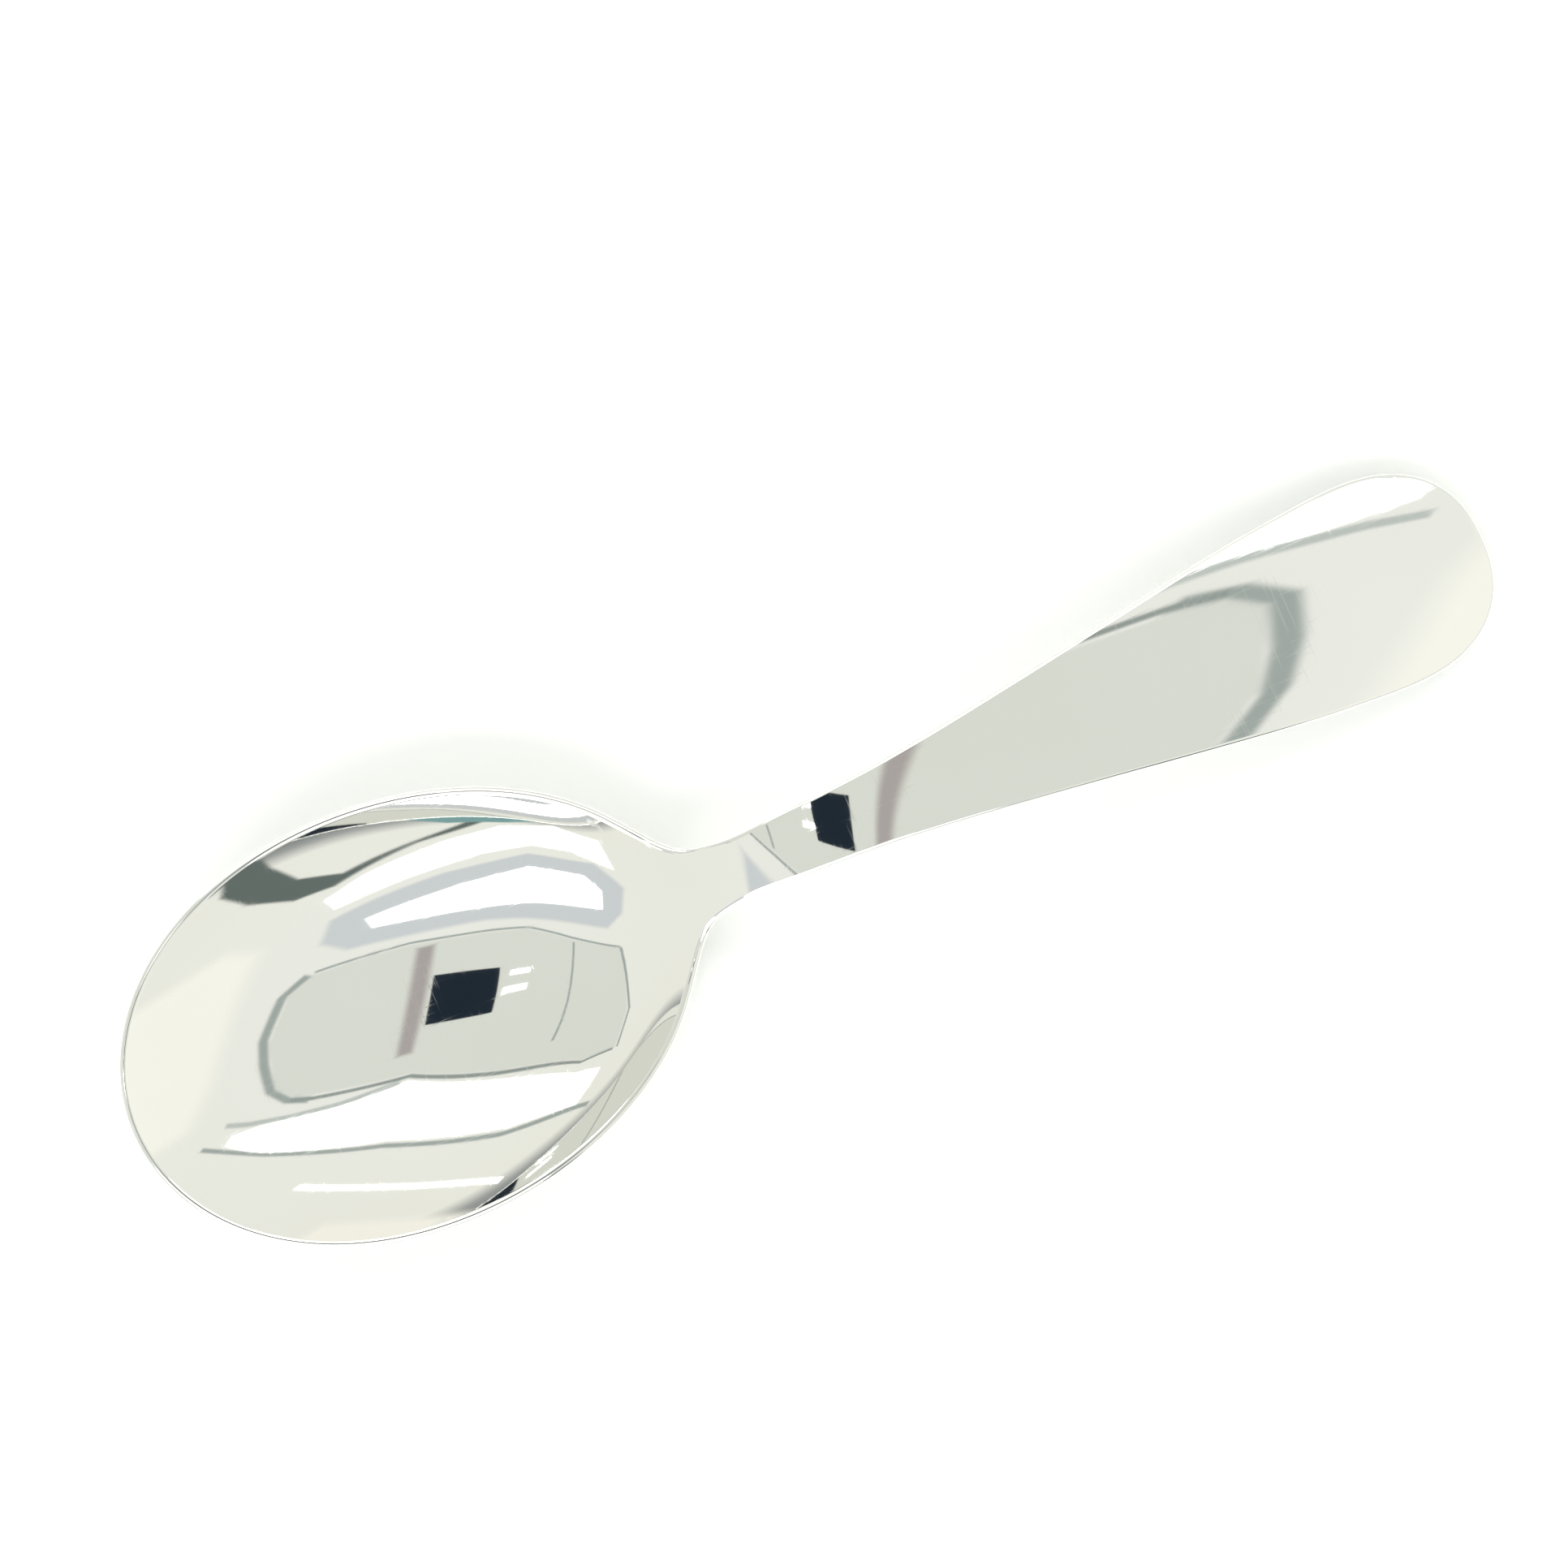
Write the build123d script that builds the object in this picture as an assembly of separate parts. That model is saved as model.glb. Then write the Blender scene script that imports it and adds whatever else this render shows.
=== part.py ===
from build123d import *
import os

import numpy as np

# A one-piece polished silver baby spoon, lying bowl up on a table.
# Millimetres. X runs along the spoon, the bowl's tip at -X and the handle's end at +X.
# Z = 0 is the table, and the origin is the middle of the spoon's footprint.
# Stations below are distances from the bowl's tip, measured along X.

LENGTH = 105.0
BOWL_LENGTH = 42.34          # length of the whole egg the bowl's outline belongs to
BOWL_HALF_WIDTH = 15.18
BOWL_EGG_SKEW = -0.073       # negative: blunter at the tip than at the neck
BOWL_EGG_FULLNESS = 0.013
BOWL_OUTLINE_END = 39.5      # station where the outline leaves the egg for the neck

# Half widths of the neck and the handle, station by station.
SIDE_HALF_WIDTHS = (
    (41.2, 5.25), (42.3, 3.90), (43.4, 2.97), (44.8, 2.50), (47.0, 2.24), (50.0, 2.36),
    (54.0, 2.58), (58.0, 2.87), (63.5, 3.50), (69.5, 4.33), (76.0, 5.28), (83.0, 6.32),
    (89.0, 7.10), (93.0, 7.47),
)
END_START = 96.2             # widest station of the handle's rounded end
END_HALF_WIDTH = 7.64
END_POWER = 2.35             # 2 is an ellipse, more is squarer

# Slope in degrees of the top face along the middle, station by station.
MIDDLE_SLOPES = (
    (-1.0, -33.5), (2.0, -29.5), (6.0, -23.2), (11.0, -16.4), (16.0, -10.9), (21.0, -5.9),
    (26.0, -1.1), (31.0, 5.8), (35.0, 15.4), (38.5, 25.2), (41.5, 30.9), (44.0, 29.8),
    (46.5, 23.6), (49.0, 15.0), (51.5, 7.5), (54.0, 2.2), (57.0, -1.6), (61.0, -3.8),
    (68.0, -6.1), (76.0, -7.9), (84.0, -9.6), (92.0, -11.5), (99.0, -13.6), (106.0, -16.4),
)

# How the top face bends across, as the rise at the edge over the half width squared.
# Positive is hollow (the bowl), negative is domed (the handle).
CROSS_BENDS = (
    (-1.0, 0.0258), (8.0, 0.0260), (16.0, 0.0265), (22.0, 0.0283), (28.0, 0.0324), (32.0, 0.0364),
    (35.0, 0.0404), (37.0, 0.0434), (39.5, 0.0450), (42.0, 0.0385), (44.0, 0.0200), (46.0, 0.0030),
    (49.0, -0.0090), (54.0, -0.0122), (64.0, -0.0122), (85.0, -0.0124), (106.0, -0.0150),
)
# Share of that bend that goes with the fourth power of the distance from the middle,
# which keeps the bowl's bottom flat and its sides steep.
STEEP_SIDES = (
    (-1.0, 1.5e-5), (8.0, 3.4e-5), (18.0, 4.4e-5), (26.0, 5.6e-5), (31.0, 8.2e-5),
    (35.0, 1.22e-4), (38.0, 1.35e-4), (40.5, 9.0e-5), (43.0, 2.0e-5), (45.0, 0.0), (46.5, 0.0),
    (48.0, 0.0), (52.0, 0.0), (106.0, 0.0),
)

# Thickness square to the top face along the middle, and how it falls off toward the
# edges per square millimetre from the middle.
MIDDLE_THICKNESS = (
    (-1.0, 1.00), (6.0, 1.12), (20.0, 1.25), (32.0, 1.40), (38.0, 1.80), (43.0, 2.50),
    (47.5, 2.85), (54.0, 2.70), (64.0, 2.40), (80.0, 2.15), (95.0, 2.00), (106.0, 1.75),
)
EDGE_THINNING = (
    (-1.0, -0.0012), (20.0, -0.0012), (30.0, -0.0016), (36.0, -0.0050), (40.0, -0.0220),
    (44.0, -0.0850), (48.0, -0.1350), (54.0, -0.1080), (60.0, -0.0740), (70.0, -0.0400),
    (80.0, -0.0240), (95.0, -0.0135), (106.0, -0.0100),
)

RIM_ROUNDING = 0.34          # radius on both edges all the way round the outline

MIDDLE_STEP = 0.25           # spacing of the running sum that turns slopes into heights
GRID_STATIONS = 60
GRID_ACROSS = 17
GRID_OVERHANG = 0.8          # how far the two faces reach past each end of the spoon
# Half widths of the strip on which the two faces are drawn; it only has to cover the outline.
STRIP_HALF_WIDTHS = (
    (-1.0, 7.0), (4.0, 11.5), (12.0, 15.2), (22.0, 16.4), (32.0, 14.2), (38.0, 10.4),
    (42.0, 6.6), (46.0, 4.2), (52.0, 3.6), (62.0, 4.4), (76.0, 6.6), (92.0, 8.6), (106.0, 8.8),
)
FACE_TOLERANCE = 0.002
BLANK_MARGIN = 10.0          # how far the blank reaches below the table before it is cut
BLANK_HEIGHT = 40.0
OUTLINE_LENGTHS = 8


def natural_spline(points):
    """Smooth curve through (station, value) points, straight past its ends."""
    knots = np.array([p[0] for p in points], dtype=float)
    values = np.array([p[1] for p in points], dtype=float)
    gaps = np.diff(knots)
    count = len(knots)
    system = np.eye(count)
    right = np.zeros(count)
    for i in range(1, count - 1):
        system[i, i - 1] = gaps[i - 1] / 6
        system[i, i] = (gaps[i - 1] + gaps[i]) / 3
        system[i, i + 1] = gaps[i] / 6
        right[i] = (values[i + 1] - values[i]) / gaps[i] - (values[i] - values[i - 1]) / gaps[i - 1]
    bends = np.linalg.solve(system, right)

    def curve(station):
        station = np.asarray(station, dtype=float)
        inside = np.clip(station, knots[0], knots[-1])
        i = np.clip(np.searchsorted(knots, inside) - 1, 0, count - 2)
        gap = gaps[i]
        left = (knots[i + 1] - inside) / gap
        far = (inside - knots[i]) / gap
        value = left * values[i] + far * values[i + 1]
        value = value + ((left**3 - left) * bends[i] + (far**3 - far) * bends[i + 1]) * gap**2 / 6
        slope = (values[i + 1] - values[i]) / gap
        slope = slope + ((1 - 3 * left**2) * bends[i] + (3 * far**2 - 1) * bends[i + 1]) * gap / 6
        return value + slope * (station - inside)

    return curve


def egg_width_squared(station):
    """Square of the half width of the bowl's egg; below zero past its ends."""
    middle = BOWL_LENGTH / 2
    u = (station - middle) / middle
    return BOWL_HALF_WIDTH**2 * (1 - u**2) * (1 + BOWL_EGG_SKEW * u + BOWL_EGG_FULLNESS * u**2)


def egg_half_width(station):
    return np.sqrt(np.maximum(egg_width_squared(station), 0))


# Outline: egg, then neck and handle through the side half widths, then the rounded end.
# Points just inside the egg and the rounded end carry their slopes over the two joins.
egg_join = [(s, float(egg_half_width(s))) for s in (38.3, 38.9, BOWL_OUTLINE_END)]
end_join = [(END_START, END_HALF_WIDTH), (END_START + 0.6, END_HALF_WIDTH)]
side_half_width = natural_spline([*egg_join, *SIDE_HALF_WIDTHS, *end_join])


def end_half_width(station):
    reach = np.clip((station - END_START) / (LENGTH - END_START), 0, 1)
    return END_HALF_WIDTH * (1 - reach**END_POWER) ** (1 / END_POWER)


def half_width(station):
    """Half width of the outline at a station."""
    station = np.asarray(station, dtype=float)
    side = np.where(station < BOWL_OUTLINE_END, egg_half_width(station), side_half_width(station))
    return np.where(station > END_START, end_half_width(station), side)


# Middle of the top face: slopes summed into heights.
middle_slope = natural_spline(MIDDLE_SLOPES)
sum_stations = np.arange(-2, LENGTH + 2 + MIDDLE_STEP, MIDDLE_STEP)
sum_slopes = np.tan(np.radians(middle_slope(sum_stations)))
sum_rises = np.concatenate([[0], np.cumsum((sum_slopes[1:] + sum_slopes[:-1]) / 2 * MIDDLE_STEP)])
middle_shape = natural_spline(list(zip(sum_stations, sum_rises)))
middle_thickness = natural_spline(MIDDLE_THICKNESS)
# The bowl's lowest point underneath rests on the table.
rest_stations = np.linspace(15, 35, 401)
rest_slopes = np.tan(np.radians(middle_slope(rest_stations)))
rest_depths = middle_shape(rest_stations) - middle_thickness(rest_stations) * np.hypot(1, rest_slopes)
TABLE_SHIFT = -float(rest_depths.min())


def middle_height(station):
    return middle_shape(station) + TABLE_SHIFT


cross_bend = natural_spline(CROSS_BENDS)
steep_sides = natural_spline(STEEP_SIDES)
edge_thinning = natural_spline(EDGE_THINNING)


def top_height(station, y):
    steep = steep_sides(station)
    plain = cross_bend(station) - steep * egg_width_squared(station)
    return middle_height(station) + plain * y**2 + steep * y**4


def under_height(station, y):
    d = 0.01
    along = (top_height(station + d, y) - top_height(station - d, y)) / (2 * d)
    across = (top_height(station, y + d) - top_height(station, y - d)) / (2 * d)
    middle = middle_thickness(station)
    thickness = middle * np.exp(edge_thinning(station) * y**2 / middle)
    return top_height(station, y) - thickness * np.sqrt(1 + along**2 + across**2)


def place(station, y, z):
    return Vector(float(station) - LENGTH / 2, float(y), float(z))


def face_over_strip(height):
    """Smooth face of the given height function over a strip that covers the outline."""
    strip = natural_spline(STRIP_HALF_WIDTHS)
    rows = []
    for station in np.linspace(-GRID_OVERHANG, LENGTH + GRID_OVERHANG, GRID_STATIONS):
        reach = float(strip(station))
        row = [place(station, y, height(station, y)) for y in np.linspace(-reach, reach, GRID_ACROSS)]
        rows.append(row)
    return Face.make_surface_from_array_of_points(rows, tol=FACE_TOLERANCE, min_deg=3, max_deg=5)


def outline_points():
    """Points of the closed outline, counter-clockwise from the handle's end."""
    turns = np.linspace(0, np.pi / 2, 10)
    end = [
        (END_START + (LENGTH - END_START) * np.cos(t) ** (2 / END_POWER),
         END_HALF_WIDTH * np.sin(t) ** (2 / END_POWER))
        for t in turns
    ]
    handle = [(s, float(half_width(s))) for s in (92, 87, 81, 75, 69, 63, 57, 52, 48.5, 46.4, 45)]
    neck = [(s, float(half_width(s))) for s in (44, 43.3, 42.6, 41.9, 41.1, 40.2)]
    last_turn = np.arccos(1 - 2 * BOWL_OUTLINE_END / BOWL_LENGTH)
    bowl = []
    for t in np.linspace(last_turn, 0, 16):
        s = BOWL_LENGTH / 2 * (1 - np.cos(t))
        bowl.append((s, float(egg_half_width(s))))
    far_side = end + handle + neck + bowl
    near_side = [(s, -w) for s, w in reversed(far_side[1:-1])]
    return [place(s, w, 0) for s, w in far_side + near_side]


def round_edges(body, edges, radius):
    """Round the edges, trying a little less when the full radius can't be laid."""
    for share in (1.0, 0.85, 0.7, 0.5):
        try:
            return body.fillet(radius * share, edges)
        except ValueError:
            continue
    print("edge left sharp")
    return body


# The outline is one smooth loop, cut into lengths so that its side walls are short faces.
loop = Edge.make_spline(outline_points(), periodic=True)
lengths = [loop.trim(i / OUTLINE_LENGTHS, (i + 1) / OUTLINE_LENGTHS) for i in range(OUTLINE_LENGTHS)]
outline = Face(Wire(lengths))
blank = Solid.extrude(outline.moved(Location((0, 0, -BLANK_MARGIN))), Vector(0, 0, BLANK_HEIGHT))
above = Solid.extrude(face_over_strip(top_height), Vector(0, 0, BLANK_HEIGHT))
below = Solid.extrude(face_over_strip(under_height), Vector(0, 0, -BLANK_HEIGHT))
spoon = ((blank - above) - below).solid()

# Every edge but the upright seams of the side wall belongs to the rim above or the rim below.
rims = spoon.edges().filter_by(Axis.Z, reverse=True)
spoon = round_edges(spoon, rims, RIM_ROUNDING)

os.makedirs("parts", exist_ok=True)
export_step(spoon, "parts/spoon.step")
print("volume", round(spoon.volume), "rim edges rounded", len(rims))
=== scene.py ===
import math

import bmesh
import bpy
import numpy as np
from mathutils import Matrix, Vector


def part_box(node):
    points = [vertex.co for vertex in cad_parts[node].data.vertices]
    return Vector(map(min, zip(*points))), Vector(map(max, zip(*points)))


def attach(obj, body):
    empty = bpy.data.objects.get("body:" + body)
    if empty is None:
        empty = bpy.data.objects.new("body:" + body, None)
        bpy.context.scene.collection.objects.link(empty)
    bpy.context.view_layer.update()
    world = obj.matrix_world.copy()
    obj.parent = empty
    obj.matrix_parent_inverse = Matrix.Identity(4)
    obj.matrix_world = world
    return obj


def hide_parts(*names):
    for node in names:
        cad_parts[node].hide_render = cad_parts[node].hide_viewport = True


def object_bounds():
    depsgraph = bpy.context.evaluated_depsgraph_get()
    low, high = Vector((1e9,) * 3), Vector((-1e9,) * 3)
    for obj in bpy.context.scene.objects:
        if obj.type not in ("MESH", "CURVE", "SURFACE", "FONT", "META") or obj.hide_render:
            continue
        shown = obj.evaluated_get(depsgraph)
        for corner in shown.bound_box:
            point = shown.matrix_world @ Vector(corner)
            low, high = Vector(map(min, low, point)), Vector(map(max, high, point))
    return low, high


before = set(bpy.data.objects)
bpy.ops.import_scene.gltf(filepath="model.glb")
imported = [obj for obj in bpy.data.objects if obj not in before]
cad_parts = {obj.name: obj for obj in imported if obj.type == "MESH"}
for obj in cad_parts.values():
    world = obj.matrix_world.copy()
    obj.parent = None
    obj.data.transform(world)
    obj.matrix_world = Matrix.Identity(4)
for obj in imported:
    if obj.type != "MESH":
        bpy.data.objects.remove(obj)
cad_low, cad_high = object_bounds()
spoon_low, spoon_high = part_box("spoon")

MM = 0.001
LENGTH = round((spoon_high[0] - spoon_low[0]) / MM, 1)


# ---------------------------------------------------------------- the spoon's shape
# The same shape as the CAD solid, in millimetres, with stations from the bowl's tip.

BOWL_LENGTH = 42.34
BOWL_HALF_WIDTH = 15.18
BOWL_EGG_SKEW = -0.073
BOWL_EGG_FULLNESS = 0.013
BOWL_OUTLINE_END = 39.5
END_START = 96.2
END_HALF_WIDTH = 7.64
END_POWER = 2.35
RIM_ROUNDING = 0.34

# Half widths of the neck and the handle, station by station.
SIDE_HALF_WIDTHS = (
    (41.2, 5.25), (42.3, 3.90), (43.4, 2.97), (44.8, 2.50), (47.0, 2.24), (50.0, 2.36),
    (54.0, 2.58), (58.0, 2.87), (63.5, 3.50), (69.5, 4.33), (76.0, 5.28), (83.0, 6.32),
    (89.0, 7.10), (93.0, 7.47),
)

# Slope in degrees of the top face along the middle, station by station.
MIDDLE_SLOPES = (
    (-1.0, -33.5), (2.0, -29.5), (6.0, -23.2), (11.0, -16.4), (16.0, -10.9), (21.0, -5.9),
    (26.0, -1.1), (31.0, 5.8), (35.0, 15.4), (38.5, 25.2), (41.5, 30.9), (44.0, 29.8),
    (46.5, 23.6), (49.0, 15.0), (51.5, 7.5), (54.0, 2.2), (57.0, -1.6), (61.0, -3.8),
    (68.0, -6.1), (76.0, -7.9), (84.0, -9.6), (92.0, -11.5), (99.0, -13.6), (106.0, -16.4),
)

# How the top face bends across, as the rise at the edge over the half width squared.
# Positive is hollow (the bowl), negative is domed (the handle).
CROSS_BENDS = (
    (-1.0, 0.0258), (8.0, 0.0260), (16.0, 0.0265), (22.0, 0.0283), (28.0, 0.0324), (32.0, 0.0364),
    (35.0, 0.0404), (37.0, 0.0434), (39.5, 0.0450), (42.0, 0.0385), (44.0, 0.0200), (46.0, 0.0030),
    (49.0, -0.0090), (54.0, -0.0122), (64.0, -0.0122), (85.0, -0.0124), (106.0, -0.0150),
)
# Share of that bend that goes with the fourth power of the distance from the middle,
# which keeps the bowl's bottom flat and its sides steep.
STEEP_SIDES = (
    (-1.0, 1.5e-5), (8.0, 3.4e-5), (18.0, 4.4e-5), (26.0, 5.6e-5), (31.0, 8.2e-5),
    (35.0, 1.22e-4), (38.0, 1.35e-4), (40.5, 9.0e-5), (43.0, 2.0e-5), (45.0, 0.0), (46.5, 0.0),
    (48.0, 0.0), (52.0, 0.0), (106.0, 0.0),
)

# Thickness square to the top face along the middle, and how it falls off toward the
# edges per square millimetre from the middle.
MIDDLE_THICKNESS = (
    (-1.0, 1.00), (6.0, 1.12), (20.0, 1.25), (32.0, 1.40), (38.0, 1.80), (43.0, 2.50),
    (47.5, 2.85), (54.0, 2.70), (64.0, 2.40), (80.0, 2.15), (95.0, 2.00), (106.0, 1.75),
)
EDGE_THINNING = (
    (-1.0, -0.0012), (20.0, -0.0012), (30.0, -0.0016), (36.0, -0.0050), (40.0, -0.0220),
    (44.0, -0.0850), (48.0, -0.1350), (54.0, -0.1080), (60.0, -0.0740), (70.0, -0.0400),
    (80.0, -0.0240), (95.0, -0.0135), (106.0, -0.0100),
)

MIDDLE_STEP = 0.25           # spacing of the running sum that turns slopes into heights

BOWL_SAMPLES = 1500          # samples of the outline before it is spaced evenly
SIDE_SAMPLES = 2500
END_SAMPLES = 900
OUTLINE_STEPS = 600          # evenly spaced points along one side of the outline
ROWS_ACROSS = 40             # strips across each face
ARC_STEPS = 7                # strips round each rounded rim
SLOPE_STEP = 0.01            # step of the differences that measure slopes
RIM_ROUNDS = 6               # rounds that settle where the rim's rounding starts
MERGE_DISTANCE = 1e-7        # metres


def natural_spline(points):
    """Smooth curve through (station, value) points, straight past its ends."""
    knots = np.array([p[0] for p in points], dtype=float)
    values = np.array([p[1] for p in points], dtype=float)
    gaps = np.diff(knots)
    count = len(knots)
    system = np.eye(count)
    right = np.zeros(count)
    for i in range(1, count - 1):
        system[i, i - 1] = gaps[i - 1] / 6
        system[i, i] = (gaps[i - 1] + gaps[i]) / 3
        system[i, i + 1] = gaps[i] / 6
        right[i] = (values[i + 1] - values[i]) / gaps[i] - (values[i] - values[i - 1]) / gaps[i - 1]
    bends = np.linalg.solve(system, right)

    def curve(station):
        station = np.asarray(station, dtype=float)
        inside = np.clip(station, knots[0], knots[-1])
        i = np.clip(np.searchsorted(knots, inside) - 1, 0, count - 2)
        gap = gaps[i]
        left = (knots[i + 1] - inside) / gap
        far = (inside - knots[i]) / gap
        value = left * values[i] + far * values[i + 1]
        value = value + ((left**3 - left) * bends[i] + (far**3 - far) * bends[i + 1]) * gap**2 / 6
        slope = (values[i + 1] - values[i]) / gap
        slope = slope + ((1 - 3 * left**2) * bends[i] + (3 * far**2 - 1) * bends[i + 1]) * gap / 6
        return value + slope * (station - inside)

    return curve


def egg_width_squared(station):
    """Square of the half width of the bowl's egg; below zero past its ends."""
    middle = BOWL_LENGTH / 2
    u = (station - middle) / middle
    return BOWL_HALF_WIDTH**2 * (1 - u**2) * (1 + BOWL_EGG_SKEW * u + BOWL_EGG_FULLNESS * u**2)


def egg_half_width(station):
    return np.sqrt(np.maximum(egg_width_squared(station), 0))


# Outline: egg, then neck and handle through the side half widths, then the rounded end.
# Points just inside the egg and the rounded end carry their slopes over the two joins.
egg_join = [(s, float(egg_half_width(s))) for s in (38.3, 38.9, BOWL_OUTLINE_END)]
end_join = [(END_START, END_HALF_WIDTH), (END_START + 0.6, END_HALF_WIDTH)]
side_half_width = natural_spline([*egg_join, *SIDE_HALF_WIDTHS, *end_join])


def end_half_width(station):
    reach = np.clip((station - END_START) / (LENGTH - END_START), 0, 1)
    return END_HALF_WIDTH * (1 - reach**END_POWER) ** (1 / END_POWER)


def half_width(station):
    """Half width of the outline at a station."""
    station = np.asarray(station, dtype=float)
    side = np.where(station < BOWL_OUTLINE_END, egg_half_width(station), side_half_width(station))
    return np.where(station > END_START, end_half_width(station), side)


# Middle of the top face: slopes summed into heights.
middle_slope = natural_spline(MIDDLE_SLOPES)
sum_stations = np.arange(-2, LENGTH + 2 + MIDDLE_STEP, MIDDLE_STEP)
sum_slopes = np.tan(np.radians(middle_slope(sum_stations)))
sum_rises = np.concatenate([[0], np.cumsum((sum_slopes[1:] + sum_slopes[:-1]) / 2 * MIDDLE_STEP)])
middle_shape = natural_spline(list(zip(sum_stations, sum_rises)))
middle_thickness = natural_spline(MIDDLE_THICKNESS)
# The bowl's lowest point underneath rests on the table.
rest_stations = np.linspace(15, 35, 401)
rest_slopes = np.tan(np.radians(middle_slope(rest_stations)))
rest_depths = middle_shape(rest_stations) - middle_thickness(rest_stations) * np.hypot(1, rest_slopes)
TABLE_SHIFT = -float(rest_depths.min())


def middle_height(station):
    return middle_shape(station) + TABLE_SHIFT


cross_bend = natural_spline(CROSS_BENDS)
steep_sides = natural_spline(STEEP_SIDES)
edge_thinning = natural_spline(EDGE_THINNING)


def top_height(station, y):
    steep = steep_sides(station)
    plain = cross_bend(station) - steep * egg_width_squared(station)
    return middle_height(station) + plain * y**2 + steep * y**4


def under_height(station, y):
    d = SLOPE_STEP
    along = (top_height(station + d, y) - top_height(station - d, y)) / (2 * d)
    across = (top_height(station, y + d) - top_height(station, y - d)) / (2 * d)
    middle = middle_thickness(station)
    thickness = middle * np.exp(edge_thinning(station) * y**2 / middle)
    return top_height(station, y) - thickness * np.sqrt(1 + along**2 + across**2)


def outline_side():
    """Evenly spaced (station, y) along the +Y side from the bowl's tip to the handle's end."""
    last_turn = math.acos(1 - 2 * BOWL_OUTLINE_END / BOWL_LENGTH)
    bowl = BOWL_LENGTH / 2 * (1 - np.cos(np.linspace(0, last_turn, BOWL_SAMPLES)))
    side = np.linspace(BOWL_OUTLINE_END, END_START, SIDE_SAMPLES)[1:]
    turn = np.linspace(np.pi / 2, 0, END_SAMPLES)[1:]
    end = END_START + (LENGTH - END_START) * np.cos(turn) ** (2 / END_POWER)
    station = np.concatenate([bowl, side, end])
    end_width = END_HALF_WIDTH * np.sin(turn) ** (2 / END_POWER)
    width = np.concatenate([half_width(np.concatenate([bowl, side])), end_width])
    run = np.concatenate([[0], np.cumsum(np.hypot(np.diff(station), np.diff(width)))])
    even = np.linspace(0, run[-1], OUTLINE_STEPS)
    return np.interp(even, run, station), np.interp(even, run, width)


def outward(station, width):
    """Unit normals in plan, pointing out of the outline, along the +Y side."""
    s = np.concatenate([[station[1]], station, [station[-2]]])
    y = np.concatenate([[-width[1]], width, [-width[-2]]])
    ds, dy = s[2:] - s[:-2], y[2:] - y[:-2]
    size = np.hypot(ds, dy)
    return -dy / size, ds / size


def rim_arcs(station, width, ns, ny, height, sign):
    """Rounds a face's rim: (station, y, height) lines from the face out to the outline.
    sign is 1 for the top face and -1 for the underside."""
    inset = np.full(len(station), RIM_ROUNDING)
    for _ in range(RIM_ROUNDS):
        s, y = station - ns * inset, width - ny * inset
        fall = (height(s, y) - height(s - ns * SLOPE_STEP, y - ny * SLOPE_STEP)) / SLOPE_STEP
        lean = np.arctan(fall) * sign
        inset = RIM_ROUNDING * (1 + np.sin(lean))
    centre = height(station - ns * inset, width - ny * inset) - sign * RIM_ROUNDING * np.cos(lean)
    arcs = []
    for k in range(ARC_STEPS + 1):
        angle = (np.pi / 2 + lean) * (1 - k / ARC_STEPS)
        out = RIM_ROUNDING * (1 - np.cos(angle))
        arcs.append((station - ns * out, width - ny * out, centre + sign * RIM_ROUNDING * np.sin(angle)))
    return arcs


def spoon_mesh():
    """One closed mesh: top face, underside and the rounded rim between them."""
    station, width = outline_side()
    ns, ny = outward(station, width)
    points, faces = [], []
    last = OUTLINE_STEPS - 1

    def put(s, y, z):
        points.append(((s - LENGTH / 2) * MM, y * MM, z * MM))
        return len(points) - 1

    def ring(ring_s, ring_y, ring_z):
        """Indices round the whole outline: +Y side out, -Y side back."""
        ring_y[0] = ring_y[last] = 0.0
        far = [put(ring_s[i], ring_y[i], ring_z[i]) for i in range(OUTLINE_STEPS)]
        near = [put(ring_s[i], -ring_y[i], ring_z[i]) for i in range(last - 1, 0, -1)]
        return far + near

    top_rings = [ring(*arc) for arc in rim_arcs(station, width, ns, ny, top_height, 1)]
    under_rings = [ring(*arc) for arc in rim_arcs(station, width, ns, ny, under_height, -1)]
    rings = top_rings + under_rings[::-1]
    count = len(rings[0])
    for a, b in zip(rings[:-1], rings[1:]):
        for i in range(count):
            j = (i + 1) % count
            faces.append((a[i], a[j], b[j], b[i]))

    def fill(edge, height, flip):
        """Fills a ring with rows across the spoon that lie on the face."""
        rows = []
        for i in range(1, last):
            far, near = edge[i], edge[count - i]
            x, y, _ = points[far]
            row = [far]
            for k in range(1, ROWS_ACROSS):
                across = y / MM * math.cos(math.pi * k / ROWS_ACROSS)
                s = x / MM + LENGTH / 2
                row.append(put(s, across, float(height(s, across))))
            row.append(near)
            rows.append(row)
        made = []
        for a, b in zip(rows[:-1], rows[1:]):
            made += [(a[k], a[k + 1], b[k + 1], b[k]) for k in range(ROWS_ACROSS)]
        made += [(edge[0], rows[0][k + 1], rows[0][k]) for k in range(ROWS_ACROSS)]
        made += [(edge[last], rows[-1][k], rows[-1][k + 1]) for k in range(ROWS_ACROSS)]
        faces.extend(tuple(reversed(f)) if flip else f for f in made)

    fill(top_rings[0], top_height, False)
    fill(under_rings[0], under_height, True)
    mesh = bpy.data.meshes.new("silver_spoon")
    mesh.from_pydata(points, [], faces)
    shape = bmesh.new()
    shape.from_mesh(mesh)
    bmesh.ops.remove_doubles(shape, verts=shape.verts, dist=MERGE_DISTANCE)
    bmesh.ops.recalc_face_normals(shape, faces=shape.faces)
    shape.to_mesh(mesh)
    shape.free()
    mesh.shade_smooth()
    return mesh


# ---------------------------------------------------------------- silver

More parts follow.
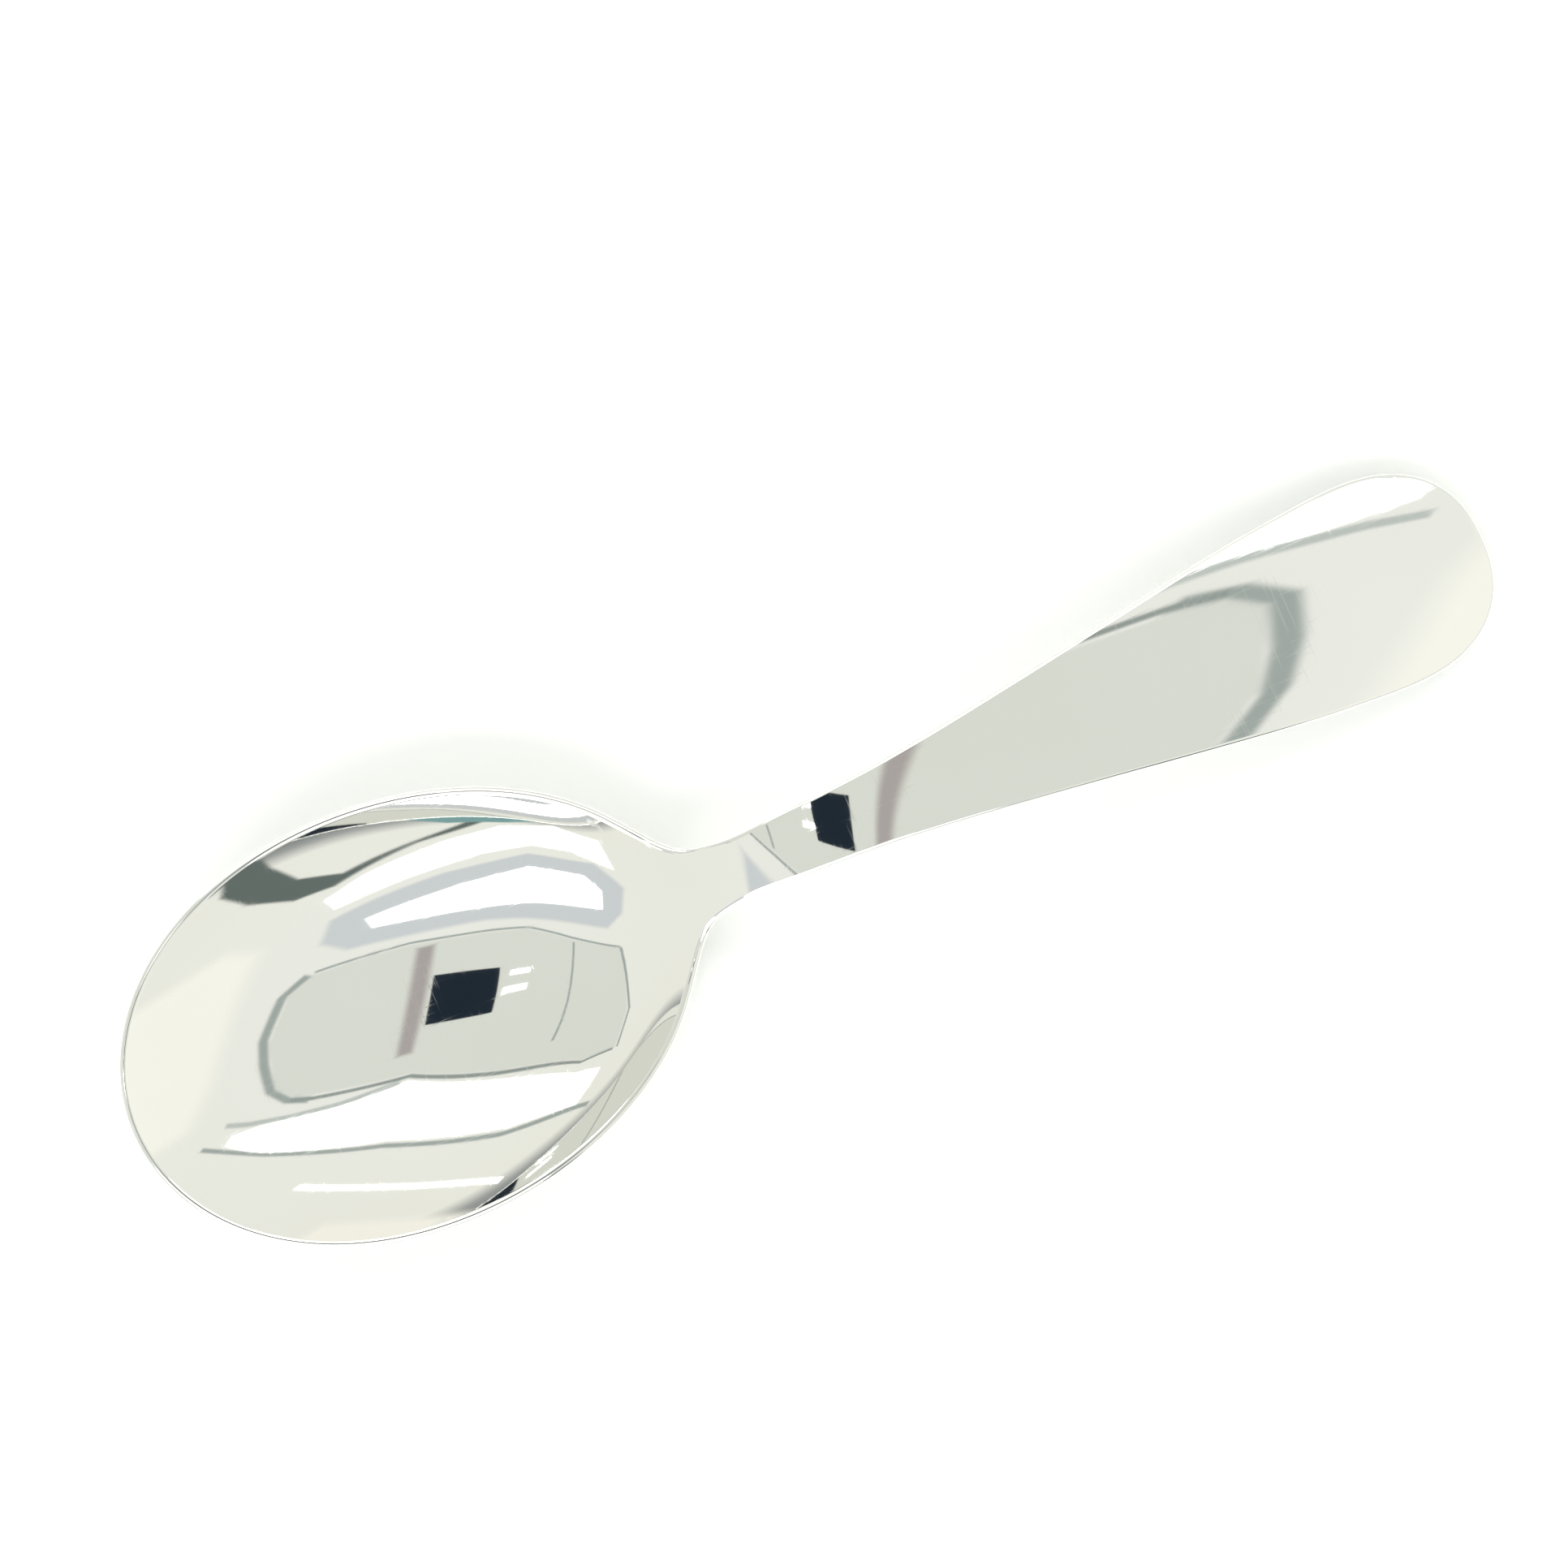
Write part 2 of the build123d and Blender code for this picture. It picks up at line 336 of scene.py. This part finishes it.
def fill_ramp(ramp, stops):
    """Puts (position, colour) stops into a new colour ramp, which has two stops to start with."""
    first, last = ramp.elements
    first.position, first.color = stops[0][0], (*stops[0][1], 1)
    last.position, last.color = stops[-1][0], (*stops[-1][1], 1)
    for position, colour in stops[1:-1]:
        ramp.elements.new(position).color = (*colour, 1)


SILVER_DARKER = (0.925, 0.915, 0.885)
SILVER_LIGHTER = (0.955, 0.950, 0.930)
COLOUR_SCALE = 34.0                       # noise scales are per metre
HAZE_SCALE = 55.0
WAVE_SCALE = 95.0
DENT_SCALE = 260.0
HAIR_TURN_A, HAIR_STRETCH_A = 14, (55, 9000, 900)
HAIR_TURN_B, HAIR_STRETCH_B = -38, (8000, 70, 900)
POLISH_ROUGHNESS = 0.022
HAIR_ROUGHNESS = 0.035
HAZE_ROUGHNESS = 0.018
WEAR_ROUGHNESS = 0.09
WAVE_DEPTH, WAVE_STRENGTH = 1.0e-5, 0.55  # depths in metres
HAIR_DEPTH, HAIR_STRENGTH = 5.0e-7, 0.15
DENT_DEPTH, DENT_STRENGTH = 4.0e-6, 0.25
BLACK = (0.0, 0.0, 0.0)
WHITE = (1.0, 1.0, 1.0)


def polished_silver():
    """Mirror-polished silver: slow polishing waves, hairline scratches, pinprick dents and
    slightly duller haze patches and worn edges."""
    mat = bpy.data.materials.new("polished_silver")
    mat.use_nodes = True
    nodes, links = mat.node_tree.nodes, mat.node_tree.links
    shader = nodes["Principled BSDF"]
    shader.inputs["Metallic"].default_value = 1.0
    place = nodes.new("ShaderNodeTexCoord").outputs["Object"]

    def stretched(turn, scale):
        mapping = nodes.new("ShaderNodeMapping")
        mapping.inputs["Rotation"].default_value = (0, 0, math.radians(turn))
        mapping.inputs["Scale"].default_value = scale
        links.new(place, mapping.inputs["Vector"])
        return mapping.outputs["Vector"]

    def noise(vector, scale, detail):
        node = nodes.new("ShaderNodeTexNoise")
        node.inputs["Scale"].default_value = scale
        node.inputs["Detail"].default_value = detail
        links.new(vector, node.inputs["Vector"])
        return node.outputs["Fac"]

    def ramp(value, stops):
        node = nodes.new("ShaderNodeValToRGB")
        fill_ramp(node.color_ramp, stops)
        links.new(value, node.inputs["Fac"])
        return node.outputs["Color"]

    def maths(kind, a, b):
        node = nodes.new("ShaderNodeMath")
        node.operation = kind
        for socket, value in zip(node.inputs, (a, b)):
            if isinstance(value, (int, float)):
                socket.default_value = value
            else:
                links.new(value, socket)
        return node.outputs["Value"]

    # Hairlines: thin crests of noise drawn out along two polishing directions.
    hair_a = ramp(noise(stretched(HAIR_TURN_A, HAIR_STRETCH_A), 1.0, 2.0),
                  [(0.64, BLACK), (0.68, WHITE), (0.72, BLACK)])
    hair_b = ramp(noise(stretched(HAIR_TURN_B, HAIR_STRETCH_B), 1.0, 2.0),
                  [(0.66, BLACK), (0.69, WHITE), (0.72, BLACK)])
    hairs = maths("MAXIMUM", hair_a, hair_b)
    haze = ramp(noise(place, HAZE_SCALE, 3.0), [(0.35, BLACK), (0.75, WHITE)])

    # Wear shows where the metal turns sharply, which is the rim all round.
    pointiness = nodes.new("ShaderNodeNewGeometry").outputs["Pointiness"]
    worn = ramp(pointiness, [(0.52, BLACK), (0.62, WHITE)])

    colour = ramp(noise(place, COLOUR_SCALE, 4.0), [(0.3, SILVER_DARKER), (0.7, SILVER_LIGHTER)])
    links.new(colour, shader.inputs["Base Color"])
    rough = maths("MULTIPLY", hairs, HAIR_ROUGHNESS)
    rough = maths("ADD", rough, maths("MULTIPLY", haze, HAZE_ROUGHNESS))
    rough = maths("ADD", rough, maths("MULTIPLY", worn, WEAR_ROUGHNESS))
    links.new(maths("ADD", rough, POLISH_ROUGHNESS), shader.inputs["Roughness"])

    # Relief: slow waves of hand polishing, then hairlines, then a few pinprick dents.
    dents = nodes.new("ShaderNodeTexVoronoi")
    dents.inputs["Scale"].default_value = DENT_SCALE
    links.new(place, dents.inputs["Vector"])
    pits = ramp(dents.outputs["Distance"], [(0.0, BLACK), (0.05, WHITE)])
    normal = None
    for height, distance, strength in (
        (noise(place, WAVE_SCALE, 1.0), WAVE_DEPTH, WAVE_STRENGTH),
        (hairs, HAIR_DEPTH, HAIR_STRENGTH),
        (pits, DENT_DEPTH, DENT_STRENGTH),
    ):
        bump = nodes.new("ShaderNodeBump")
        bump.inputs["Strength"].default_value = strength
        bump.inputs["Distance"].default_value = distance
        links.new(height, bump.inputs["Height"])
        if normal is not None:
            links.new(normal, bump.inputs["Normal"])
        normal = bump.outputs["Normal"]
    links.new(normal, shader.inputs["Normal"])
    return mat


spoon = bpy.data.objects.new("silver_spoon", spoon_mesh())
bpy.context.scene.collection.objects.link(spoon)
spoon.data.materials.append(polished_silver())
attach(spoon, "root")
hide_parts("spoon")


# ---------------------------------------------------------------- studio

SPOON_TURN = math.radians(23.86)          # the spoon points up to the right in the picture
CAMERA_HEIGHT = 0.385
FRAME_WIDTH = 0.11152                     # width seen at the spoon's height
SPOON_MIDDLE_HEIGHT = 0.005
CAMERA_X, CAMERA_Y = -0.00048, 0.004135
SENSOR = 36.0
CAMERA_NEAR, CAMERA_FAR = 0.01, 20
CARD_DISTANCE = 2.0
CARD_LAYER_GAP = 0.03                     # higher layers hang nearer to the table
CARD_CUTS = 5
BAND_FEATHER = 0.35                       # share of a band's thickness that fades on each side
FLOOR_SIZE = 5

PICTURE_RIGHT = Vector((math.cos(SPOON_TURN), -math.sin(SPOON_TURN), 0))
PICTURE_UP = Vector((math.sin(SPOON_TURN), math.cos(SPOON_TURN), 0))


def emission(name, colour, strength, feathered=False):
    """Plain glow; a feathered one fades out where the mesh attribute "soft" falls to zero."""
    mat = bpy.data.materials.new(name)
    mat.use_nodes = True
    nodes, links = mat.node_tree.nodes, mat.node_tree.links
    nodes.clear()
    light = nodes.new("ShaderNodeEmission")
    light.inputs["Color"].default_value = (*colour, 1)
    light.inputs["Strength"].default_value = strength
    shown = light.outputs["Emission"]
    if feathered:
        soft = nodes.new("ShaderNodeAttribute")
        soft.attribute_name = "soft"
        fade = nodes.new("ShaderNodeMapRange")
        fade.interpolation_type = "SMOOTHSTEP"
        links.new(soft.outputs["Fac"], fade.inputs["Value"])
        mix = nodes.new("ShaderNodeMixShader")
        links.new(fade.outputs["Result"], mix.inputs["Fac"])
        links.new(nodes.new("ShaderNodeBsdfTransparent").outputs["BSDF"], mix.inputs[1])
        links.new(shown, mix.inputs[2])
        shown = mix.outputs["Shader"]
    links.new(shown, nodes.new("ShaderNodeOutputMaterial").inputs["Surface"])
    return mat


def card(name, corners, colour, strength, layer=0, feather=1.0):
    """Glowing card high over the table, seen only in reflections and by its light.
    Corners are degrees from straight up: to the picture's right and to its top.
    The card's edge fades over the feather, also in degrees."""
    shape = bmesh.new()
    face = shape.faces.new([shape.verts.new((r, u, 0)) for r, u in corners])
    soft = shape.verts.layers.float.new("soft")
    shape.normal_update()
    bmesh.ops.inset_individual(shape, faces=[face], thickness=feather, use_even_offset=True)
    for vert in face.verts:
        vert[soft] = 1.0
    bmesh.ops.triangulate(shape, faces=shape.faces)
    bmesh.ops.subdivide_edges(shape, edges=shape.edges, cuts=CARD_CUTS, use_grid_fill=True)
    distance = CARD_DISTANCE - CARD_LAYER_GAP * layer
    for vert in shape.verts:
        right, up = vert.co.x, vert.co.y
        tilt = math.radians(math.hypot(right, up))
        side = (PICTURE_RIGHT * right + PICTURE_UP * up).normalized() if tilt > 0 else PICTURE_RIGHT
        vert.co = (side * math.sin(tilt) + Vector((0, 0, math.cos(tilt)))) * distance
    mesh = bpy.data.meshes.new(name)
    shape.to_mesh(mesh)
    shape.free()
    obj = bpy.data.objects.new(name, mesh)
    obj.data.materials.append(emission(name, colour, strength, feathered=True))
    obj.visible_camera = False
    bpy.context.scene.collection.objects.link(obj)
    return obj


def band(name, line, thickness, colour, strength, layer):
    """Card that is a ribbon along a line of (right, up) points, soft on both sides."""
    line = [Vector(p) for p in line]
    sides = []
    for i, p in enumerate(line):
        ahead = (line[min(i + 1, len(line) - 1)] - line[max(i - 1, 0)]).normalized()
        sides.append(Vector((-ahead.y, ahead.x)) * thickness / 2)
    upper = [p + n for p, n in zip(line, sides)]
    lower = [p - n for p, n in zip(line, sides)]
    return card(name, upper + lower[::-1], colour, strength, layer, thickness * BAND_FEATHER)


CEILING = (0.722, 0.750, 0.690)
WARM_WALL = (0.86, 0.87, 0.80)
GREY_GREEN = (0.36, 0.41, 0.39)
DARK = (0.13, 0.16, 0.15)
MAUVE = (0.42, 0.39, 0.38)
TEAL = (0.20, 0.36, 0.36)
BLUE_GREY = (0.62, 0.66, 0.68)
LIGHT_GREY_GREEN = (0.52, 0.57, 0.54)
FLAG_BLUE = (0.25, 0.40, 0.60)
PAPER_WHITE = (0.93, 0.94, 0.93)

card("ceiling_card", [(-56, 38), (-40, 38), (-16, 27), (2, 18), (20, 18.5), (24, 15), (27.5, 2), (27, -10),
                      (24, -14.5), (10, -17), (-10, -16), (-24, -12), (-44, -8), (-56, 20)],
     CEILING, 1.0, 1, 0.5)
card("far_lamp", [(-52, 45), (-40, 42), (-16, 29), (2, 19.5), (14, 22.5), (24, 25), (30, 27.5), (31, 31),
                  (24, 35), (0, 39), (-30, 51), (-50, 57)], WHITE, 4.5, 1, 1.2)
band("far_lamp_edge", [(-56, 59), (-30, 52.5), (0, 40.5), (22, 35.5), (36, 31)], 2.2, GREY_GREEN, 1.0, 2)
band("far_lamp_under", [(3, 19.5), (12, 22.5), (20, 24), (27, 24.5), (32, 24)], 2.4, LIGHT_GREY_GREEN, 1.0, 2)
band("far_light_line", [(-42, 72), (-15, 62), (13, 50)], 2.4, WHITE, 3.0, 2)
card("right_glow", [(34, -30), (44, -36), (66, -20), (70, 20), (52, 40), (37, 26), (34, 10)],
     (1.0, 1.0, 0.92), 0.97, 0, 6.0)
card("far_glow", [(-60, 84), (-20, 74), (2, 66), (8, 74), (-12, 86), (-40, 90)],
     (1.0, 0.99, 0.90), 0.95, 1, 4.0)
band("ceiling_far_edge", [(-55, 38), (-40, 38.5), (-16, 27.5), (2, 18.5), (17, 19.3), (21, 19)],
     1.5, GREY_GREEN, 0.8, 3)
band("ceiling_right_edge", [(17, 19.6), (21, 18.8), (24.5, 15.5), (27, 8), (28.6, 1), (28, -10), (24.5, -15)],
     2.8, GREY_GREEN, 1.0, 3)
band("ceiling_left_edge", [(-57, 38), (-57, 20), (-44, -8)], 1.7, GREY_GREEN, 1.0, 3)
band("ceiling_near_edge", [(-44, -8), (-24, -12.4), (-10, -16.5), (10, -17.5), (24, -15)],
     1.1, GREY_GREEN, 1.0, 3)
band("ceiling_seam", [(-24.5, 24), (-24.5, -11)], 1.1, GREY_GREEN, 1.0, 4)
band("ceiling_bar", [(4.5, 13), (7.5, -16)], 3.6, MAUVE, 1.0, 4)
card("near_lamp_frame", [(-38, -15), (-24, -17), (0, -20), (20, -19), (26, -24), (26, -34), (10, -48),
                         (-10, -57), (-34, -52), (-44, -36), (-44, -22)], BLUE_GREY, 1.0, 0, 2.0)
card("near_lamp", [(-36, -24), (-12, -26), (17, -26), (19, -31), (6, -40), (-10, -47), (-30, -43), (-36, -34)],
     WHITE, 5.0, 1, 1.4)
card("side_lamp", [(-40, -46), (-26, -59), (-12, -62), (4, -56), (18, -44), (25, -38), (28, -44), (22, -54),
                   (10, -69), (-2, -78), (-22, -80), (-34, -68)], WHITE, 4.5, 1, 1.6)
card("dark_flag", [(26, -50), (34, -47), (44, -52), (50, -60), (50, -74), (44, -82), (40, -70), (34, -60),
                   (26, -58), (16, -70), (8, -80), (4, -86), (-2, -84), (4, -78), (14, -68)],
     DARK, 1.0, 2, 1.6)
card("teal_flag", [(16, -84), (10, -80), (-4, -80), (-16, -82), (-18, -89), (12, -89)], TEAL, 1.0, 3, 1.2)
card("small_lamp_a", [(-12, 3.2), (-7, 3.2), (-7, 1.2), (-12, 1.2)], WHITE, 6.0, 5, 0.5)
card("small_lamp_b", [(-12, -1.8), (-7.5, -1.8), (-7.5, -3.4), (-12, -3.4)], WHITE, 6.0, 5, 0.5)

# A dark card beside the camera, as any camera body shows in polished metal.
# It is slanted, because the bowl and the neck skew what is near them in opposite ways.
FLAG_CORNERS = ((-0.0275, -0.0355), (0.0385, -0.0465), (0.0275, 0.0355), (-0.0385, 0.0465))
FLAG_LEFT, FLAG_DOWN, FLAG_ABOVE_CAMERA = 0.025, 0.008, 0.012
flag_mesh = bpy.data.meshes.new("camera_card")
flag_middle = Vector((CAMERA_X, CAMERA_Y, CAMERA_HEIGHT + FLAG_ABOVE_CAMERA))
flag_middle = flag_middle - PICTURE_RIGHT * FLAG_LEFT - PICTURE_UP * FLAG_DOWN
flag_points = [flag_middle + PICTURE_RIGHT * r + PICTURE_UP * u for r, u in FLAG_CORNERS]
flag_mesh.from_pydata(flag_points, [], [(0, 1, 2, 3)])
flag_mesh.materials.append(emission("camera_card", FLAG_BLUE, 0.06))
camera_card = bpy.data.objects.new("camera_card", flag_mesh)
bpy.context.scene.collection.objects.link(camera_card)
camera_card.visible_camera = False

# Pale room all round, with dim walls low down that draw a thin dark line along every rim.
world = bpy.data.worlds.new("studio")
bpy.context.scene.world = world
world.use_nodes = True
sky, sky_links = world.node_tree.nodes, world.node_tree.links
height = sky.new("ShaderNodeSeparateXYZ")
sky_links.new(sky.new("ShaderNodeTexCoord").outputs["Generated"], height.inputs["Vector"])
walls = sky.new("ShaderNodeValToRGB")
fill_ramp(walls.color_ramp, [(0.0, (0.22, 0.24, 0.23)), (0.07, (0.36, 0.38, 0.37)), (0.17, WARM_WALL),
                             (1.0, (0.86, 0.88, 0.83))])
sky_links.new(height.outputs["Z"], walls.inputs["Fac"])
sky_links.new(walls.outputs["Color"], sky["Background"].inputs["Color"])
sky["Background"].inputs["Strength"].default_value = 1.0

bpy.ops.mesh.primitive_plane_add(size=FLOOR_SIZE, location=(0, 0, cad_low[2]))
floor = bpy.context.object
floor.name = "white_paper"
paper = bpy.data.materials.new("white_paper")
paper.use_nodes = True
paper.node_tree.nodes["Principled BSDF"].inputs["Base Color"].default_value = (*PAPER_WHITE, 1)
paper.node_tree.nodes["Principled BSDF"].inputs["Roughness"].default_value = 0.9
paper.node_tree.nodes["Principled BSDF"].inputs["Specular IOR Level"].default_value = 0.1
floor.data.materials.append(paper)

camera = bpy.data.objects.new("camera", bpy.data.cameras.new("camera"))
bpy.context.scene.collection.objects.link(camera)
camera.location = (CAMERA_X, CAMERA_Y, CAMERA_HEIGHT)
camera.rotation_euler = (0, 0, -SPOON_TURN)
camera.data.sensor_width = SENSOR
camera.data.lens = SENSOR * (CAMERA_HEIGHT - SPOON_MIDDLE_HEIGHT) / FRAME_WIDTH
camera.data.clip_start = CAMERA_NEAR
camera.data.clip_end = CAMERA_FAR
bpy.context.scene.camera = camera
bpy.context.scene.view_settings.view_transform = "Standard"
bpy.context.scene.view_settings.look = "None"
